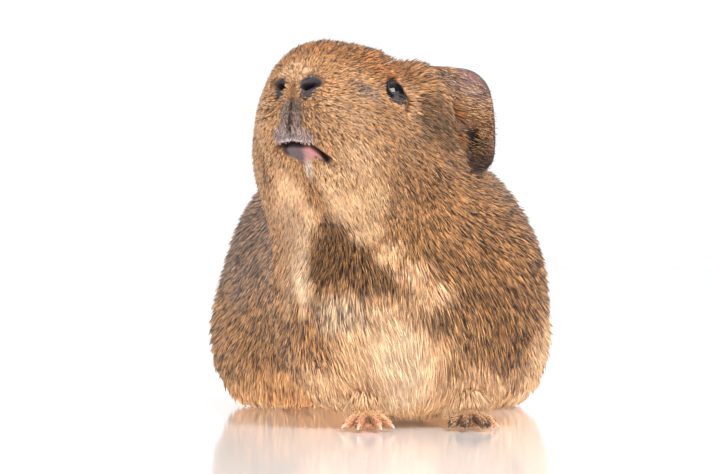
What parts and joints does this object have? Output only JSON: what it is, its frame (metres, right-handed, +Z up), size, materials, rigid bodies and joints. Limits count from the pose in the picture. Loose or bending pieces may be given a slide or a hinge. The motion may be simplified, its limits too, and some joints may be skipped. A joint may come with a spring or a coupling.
{
  "type": "guinea pig",
  "caption": "Smooth-haired golden agouti guinea pig, sitting with its head lifted and turned to its right, as a still life-size animal model.",
  "frame": {"origin": "middle of the bounding box in X and Y, on the floor under the feet", "axes": "+Z up, +Y along the body from nose to rump, +X to the animal's left"},
  "size_m": [0.1348, 0.2148, 0.1355],
  "materials": {
    "coat": "golden agouti short fur, ticked with dark brown",
    "dark_coat": "greyer brown agouti short fur with orange ticking",
    "pale_coat": "cream and tan short fur",
    "ear_skin": "thin mauve-pink skin with short hair",
    "eye": "wet, glossy, near black",
    "pale_claw": "translucent pale horn",
    "dark_claw": "dark brown horn"
  },
  "bodies": {
    "root": {"head": "coat", "neck": "pale_coat", "torso": "dark_coat", "eye_left": "eye", "ear_left": "ear_skin", "foreleg_left": "pale_coat", "hind_leg_left": "dark_coat", "claw_fore_left_1": "dark_claw", "claw_fore_left_2": "dark_claw", "claw_fore_left_3": "dark_claw", "claw_fore_left_4": "dark_claw", "claw_hind_left_1": "dark_claw", "claw_hind_left_2": "dark_claw", "claw_hind_left_3": "dark_claw", "eye_right": "eye", "ear_right": "ear_skin", "foreleg_right": "pale_coat", "hind_leg_right": "dark_coat", "claw_fore_right_1": "pale_claw", "claw_fore_right_2": "pale_claw", "claw_fore_right_3": "pale_claw", "claw_fore_right_4": "pale_claw", "claw_hind_right_1": "pale_claw", "claw_hind_right_2": "pale_claw", "claw_hind_right_3": "pale_claw"}
  },
  "joints": []
}
